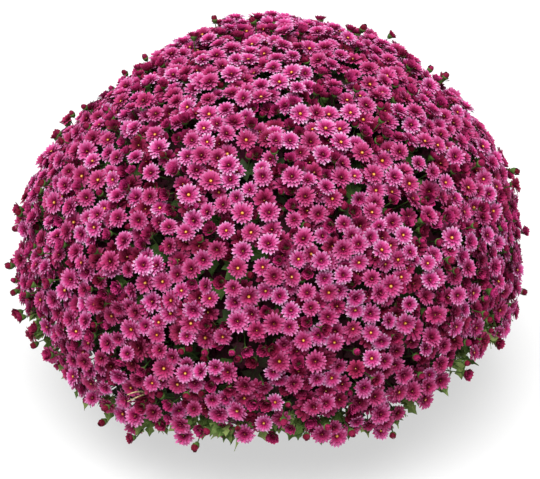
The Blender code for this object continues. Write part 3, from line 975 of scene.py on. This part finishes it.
def calyxes(heads, mine):
    """The green cups of a spray's heads, except under the opened ones that are set back in the shade."""
    closed = heads.kind[mine] >= CUP
    opened = ~closed & ~heads.in_shade[mine]
    parts = []
    for shape, chosen in ((low_calyx(), mine[opened]), (high_calyx(), mine[closed])):
        tints = np.full(len(chosen), CALYX_TINT)
        parts.append(shape.copies(heads.turns[chosen], heads.points[chosen], heads.size[chosen], tints))
    return parts


def spray_stems(heads, number):
    """The spray's stem, its twigs, and a stalk for every head, with the calyxes."""
    rng = np.random.default_rng(STEM_SEED + number)
    mine = np.flatnonzero(heads.spray == number)
    points, facing = heads.points[mine], heads.facing[mine]
    group = grouped(points, TWIGS_PER_SPRAY, rng)
    middle = points.mean(axis=0)
    foot = STEM_FOOT * normalised(middle)
    foot[2] = STEM_FOOT_Z
    fork = foot + STEM_FORK * (middle - foot)
    parts = [main_stem(foot, fork, middle)]
    for i in np.unique(group):
        own = np.flatnonzero(group == i)
        knot = points[own].mean(axis=0) - normalised(facing[own].mean(axis=0)) * KNOT_DEPTH
        parts.append(twig(fork, knot, middle))
        parts += [stalk(knot, points[head], facing[head]) for head in own]
    return parts + calyxes(heads, mine)


class Leaves:
    """The foliage: a skirt below the last blooms, and layers under the blooms that shade the inside."""

    def __init__(self, dome):
        rng = np.random.default_rng(LEAF_SEED)
        layers = [self.skirt(rng, dome)] + [self.layer(rng, dome, *layer) for layer in LEAF_LAYERS]
        self.points, self.turns, self.size, self.tint = [np.concatenate(part) for part in zip(*layers)]
        shown = len(layers[0][0]) + len(layers[1][0])
        deep = len(self.points) - shown
        lobed = rng.integers(0, LEAF_VARIANTS, shown)
        plain = rng.integers(LEAF_VARIANTS, LEAF_VARIANTS + DEEP_LEAF_VARIANTS, deep)
        self.variant = np.append(lobed, plain)
        self.spray = nearest_spray(self.points)

    def layer(self, rng, dome, count, heights, lengths, leans, tints):
        """Leaves that lie any way round along the surface, and lean out of it."""
        distance, azimuth = dome.spiral(count)
        points, normals = dome.at(distance, azimuth, rng.uniform(*heights, count))
        flat = rng.normal(0, 1, normals.shape)
        flat -= (flat * normals).sum(axis=1, keepdims=True) * normals
        x = normalised(normalised(flat) + normals * rng.uniform(*leans, count)[:, None])
        y = normalised(np.cross(normals + rng.normal(0, LEAF_TILT, normals.shape), x))
        return self.held(rng, points, x, y, lengths, tints, LEAF_HELD_AT)

    def skirt(self, rng, dome):
        """The leaves that hang out below the last blooms."""
        distance, azimuth = dome.anywhere(rng, SKIRT_COUNT, SKIRT_BAND)
        points, normals = dome.at(distance, azimuth, rng.uniform(*SKIRT_HEIGHTS, SKIRT_COUNT))
        outward = normals + rng.normal(0, SKIRT_SPREAD, normals.shape)
        x = normalised(outward - UP * rng.uniform(*SKIRT_DROOPS, SKIRT_COUNT)[:, None])
        y = normalised(np.cross(UP + rng.normal(0, SKIRT_TILT, normals.shape), x))
        return self.held(rng, points, x, y, SKIRT_LENGTHS, SKIRT_TINTS, SKIRT_HELD_AT)

    def held(self, rng, points, x, y, lengths, tints, share):
        """Leaves along x and across y, with each point at that share of its leaf's length."""
        size = rng.uniform(*lengths, len(points))
        turns = np.stack([x, y, np.cross(x, y)], axis=2)
        return points - x * size[:, None] * share, turns, size, rng.uniform(*tints, len(points))

    def of_spray(self, templates, number):
        """The leaves of one spray."""
        parts = []
        for variant, shape in enumerate(templates):
            chosen = np.flatnonzero((self.spray == number) & (self.variant == variant))
            turns, points = self.turns[chosen], self.points[chosen]
            parts.append(shape.copies(turns, points, self.size[chosen], self.tint[chosen]))
        return parts


def leaf_templates():
    """The variants of leaf, the lobed ones first."""
    rng = np.random.default_rng(LEAF_SHAPE_SEED)
    outlines = [LEAF_OUTLINE] * LEAF_VARIANTS + [DEEP_LEAF_OUTLINE] * DEEP_LEAF_VARIANTS
    spans = (LEAF_CURLS, LEAF_FOLDS, LEAF_SWAYS)
    return [leaf(outline, *[rng.uniform(*span) for span in spans]) for outline in outlines]


def add_sprays(dome):
    petals, eyes, leaves = petal_material(), eye_material(), leaf_material()
    heads = Heads(dome)
    foliage = Leaves(dome)
    flower_shapes, leaf_shapes = head_templates(), leaf_templates()
    for number in range(SPRAY_COUNT):
        name = f"spray_{number + 1:02d}"
        flowers = spray_flowers(heads, flower_shapes, number)
        piece(f"{name}_flowers", flowers, petals, [f"{name}_blooms"])
        piece(f"{name}_eyes", spray_eyes(heads, number), eyes)
        green = joined(spray_stems(heads, number) + foliage.of_spray(leaf_shapes, number))
        piece(f"{name}_foliage", green, leaves, [f"{name}_leafy_stem"])


def turned_shape(profile, sides=LATHE_SIDES):
    """A profile of (radius, height) pairs turned about Z, open at both ends."""
    profile = np.array(profile, float)
    angles = 2 * math.pi * np.arange(sides) / sides
    points = np.empty((len(profile), sides, 3))
    points[:, :, 0] = profile[:, :1] * np.cos(angles)
    points[:, :, 1] = profile[:, :1] * np.sin(angles)
    points[:, :, 2] = profile[:, 1:]
    return Shape(points, skin(len(profile), sides))


def softened(corners, cut):
    """A profile whose inner corners are rounded off."""
    corners = [np.array(corner, float) for corner in corners]
    soft = [corners[0]]
    for before, corner, after in zip(corners, corners[1:], corners[2:]):
        reach = [min(cut, MOST_ROUNDING * math.dist(corner, other)) for other in (before, after)]
        start = corner + normalised(before - corner) * reach[0]
        end = corner + normalised(after - corner) * reach[1]
        soft += list(bend(start, corner, end, ROUNDING_POINTS))
    return soft + [corners[-1]]


def pot_inside(height):
    """The pot's inner radius at a height."""
    return POT_FOOT + (POT_TOP - LIP_STEP - POT_FOOT) * height / POT_HEIGHT - POT_WALL


def drain_plate():
    """The pot's underside in equal sectors, each with a drain hole in its middle."""
    half = math.pi / DRAIN_HOLES
    radius = POT_FOOT - POT_WALL
    corner = math.atan2(radius * math.sin(half), radius * math.cos(half) - DRAIN_RING)
    evenly = np.linspace(-math.pi, math.pi, DRAIN_SIDES, endpoint=False)
    angles = np.sort(np.append(evenly, (-corner, corner)))
    rays = np.stack([np.cos(angles), np.sin(angles)], axis=1)
    tiny = 1e-6
    lean = np.abs(rays[:, 1]) - rays[:, 0] * math.tan(half)
    to_side = np.where(lean > tiny, DRAIN_RING * math.tan(half) / np.maximum(lean, tiny), np.inf)
    to_edge = -DRAIN_RING * rays[:, 0] + np.sqrt((DRAIN_RING * rays[:, 0]) ** 2 + radius**2 - DRAIN_RING**2)
    middle = np.array([DRAIN_RING, 0])
    outer = middle + rays * np.minimum(to_side, to_edge)[:, None]
    hole = middle + rays * DRAIN_RADIUS
    levels = [np.insert(flat, 2, z, axis=1) for flat, z in ((outer, 0), (hole, 0), (hole, POT_FLOOR))]
    faces = [(a, c, b) for a, b, c in skin(len(levels), len(rays))]
    sector = Shape(np.concatenate(levels), faces)
    return [sector.turned((2 * k + 1) * half) for k in range(DRAIN_HOLES)]


def pot_shape():
    """A plain tapered pot with a lip, its edges rounded off."""
    lip_foot = POT_HEIGHT - LIP_HEIGHT
    neck = pot_inside(lip_foot) + POT_WALL
    corners = [
        (POT_FOOT - POT_WALL, 0),
        (POT_FOOT, POT_WALL),
        (neck, lip_foot),
        (neck + LIP_STEP, lip_foot),
        (POT_TOP, POT_HEIGHT),
        (POT_TOP - POT_WALL, POT_HEIGHT),
        (pot_inside(POT_FLOOR), POT_FLOOR),
        (pot_inside(POT_FLOOR) - POT_WALL, POT_FLOOR),
    ]
    return joined([turned_shape(softened(corners, EDGE_ROUNDING))] + drain_plate())


def soil_bed(rng, edge):
    """The soil's crowned top, rough as potting mix is, with its sides and its underside."""
    foot = POT_FLOOR + SOIL_GAP
    # The profile starts and ends just beside the axis.
    profile = [(0.01, foot), (pot_inside(foot) - SOIL_GAP, foot), (edge, SOIL_Z - SOIL_EDGE)]
    for share in np.linspace(1, 0.001, SOIL_RINGS):
        profile.append((edge * share, SOIL_Z + SOIL_CROWNING * (1 - share**2)))
    bed = turned_shape(profile)
    top = bed.points[:, 2] > SOIL_Z
    bed.points[top] += UP * rng.normal(0, SOIL_ROUGHNESS, top.sum())[:, None]
    return bed


def crumbs(rng, edge):
    """Crumbs of bark and soil, lumpy six-sided grains strewn over the bed."""
    crumb = rings([(0.1, -0.8), (0.8, -0.35), (1.0, 0.3), (0, 0.75)], sides=6)
    radius = edge * CRUMB_REACH * np.sqrt(rng.uniform(*CRUMB_AREAS, CRUMB_COUNT))
    azimuth = rng.uniform(0, 2 * math.pi, CRUMB_COUNT)
    height = SOIL_Z + SOIL_CROWNING * (1 - (radius / edge) ** 2) + CRUMB_LIFT
    places = np.stack([radius * np.cos(azimuth), radius * np.sin(azimuth), height], axis=1)
    turns = turns_to(rng.normal(0, 1, (CRUMB_COUNT, 3)), azimuth)
    return crumb.copies(turns, places, rng.uniform(*CRUMB_SIZES, CRUMB_COUNT), np.zeros(CRUMB_COUNT))


def soil_shape():
    """The soil, with crumbs on top."""
    rng = np.random.default_rng(SOIL_SEED)
    edge = pot_inside(SOIL_Z) - SOIL_GAP
    return joined([soil_bed(rng, edge), crumbs(rng, edge)])


def gnarled(shape, rng):
    """Moves the points in and out by a sum of random waves."""
    for _ in range(BARK_WAVES):
        way = rng.normal(0, BARK_PITCH, 3)
        push = normalised(rng.normal(0, 1, 3)) * BARK_DEPTH / math.sqrt(BARK_WAVES)
        shape.points += np.sin(shape.points @ way + rng.uniform(0, 2 * math.pi))[:, None] * push
    return shape


def crown_shape():
    """The woody crown, a knotty ball on a short stem."""
    stem_top = CROWN_BALL_Z - CROWN_BALL * CROWN_SUNK
    profile = [(CROWN_STEM, z) for z in np.linspace(CROWN_FOOT_Z, stem_top, CROWN_STEM_RINGS)]
    # The ball's outline ends just beside the axis.
    for angle in np.linspace(math.radians(CROWN_BALL_FROM), math.pi / 2 - 0.01, CROWN_BALL_RINGS):
        profile.append((CROWN_BALL * math.cos(angle), CROWN_BALL_Z + CROWN_BALL * math.sin(angle)))
    return gnarled(turned_shape(profile, CROWN_SIDES), np.random.default_rng(BARK_SEED))


def add_dry_twig():
    """The dry twig that lies between the lower blooms, on the photograph's left."""
    foot = np.array(DRY_TWIG_FOOT, float)
    blades = []
    for rise in DRY_TWIG_RISES:
        path = bend(foot, foot + (*DRY_TWIG_BEND, rise), foot + (*DRY_TWIG_REACH, rise), count=6)
        blades.append(tube(path, np.linspace(*DRY_TWIG_RADII, len(path)), sides=5))
    piece("dry_twig", joined(blades), straw_material())


def add_pot():
    piece("pot_finish", pot_shape(), pot_material(), ["pot"])
    piece("soil_finish", soil_shape(), soil_material(), ["soil"])
    piece("crown_finish", crown_shape(), bark_material(), ["crown"])


def add_floor():
    reach = FLOOR_REACH * MM
    mesh = bpy.data.meshes.new("floor")
    corners = [(-reach, -reach, 0), (reach, -reach, 0), (reach, reach, 0), (-reach, reach, 0)]
    mesh.from_pydata(corners, [], [(0, 1, 2, 3)])
    grey, white = (FLOOR_SHADE, FLOOR_SHADE, FLOOR_SHADE, 1), (1, 1, 1, 1)
    paint = Paint("floor", base_color=grey, roughness=0.9, emission_color=white, emission_strength=FLOOR_GLOW)
    mesh.materials.append(paint.material)
    floor = bpy.data.objects.new("floor", mesh)
    bpy.context.scene.collection.objects.link(floor)
    floor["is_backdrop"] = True


def add_light():
    world = bpy.data.worlds.new("studio")
    world.use_nodes = True
    sky = world.node_tree.nodes["Background"]
    sky.inputs["Color"].default_value = (1, 1, 1, 1)
    sky.inputs["Strength"].default_value = SKY_STRENGTH
    bpy.context.scene.world = world
    lamp = bpy.data.lights.new("key", "SUN")
    lamp.energy = SUN_STRENGTH
    lamp.angle = math.radians(SUN_BREADTH)
    key = bpy.data.objects.new("key", lamp)
    key.rotation_euler = Vector(SUN_WAY).to_track_quat("Z", "Y").to_euler()
    bpy.context.scene.collection.objects.link(key)
    bpy.context.scene.view_settings.view_transform = "Standard"


def add_camera():
    data = bpy.data.cameras.new("camera")
    data.sensor_width = SENSOR_WIDTH
    data.lens = SENSOR_WIDTH * CAMERA_DISTANCE / VIEW_WIDTH
    camera = bpy.data.objects.new("camera", data)
    rise = math.radians(CAMERA_RISE)
    back = Vector((0, -math.cos(rise), math.sin(rise)))
    camera.location = (Vector(VIEW_MIDDLE) + back * CAMERA_DISTANCE) * MM
    camera.rotation_euler = back.to_track_quat("Z", "Y").to_euler()
    bpy.context.scene.collection.objects.link(camera)
    bpy.context.scene.camera = camera


add_camera()
add_light()
add_floor()
add_sprays(Dome())
add_pot()
add_dry_twig()

boxes = {"cad": cad_box, "visual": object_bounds()}
{name: [list(corner) for corner in box] for name, box in boxes.items()}
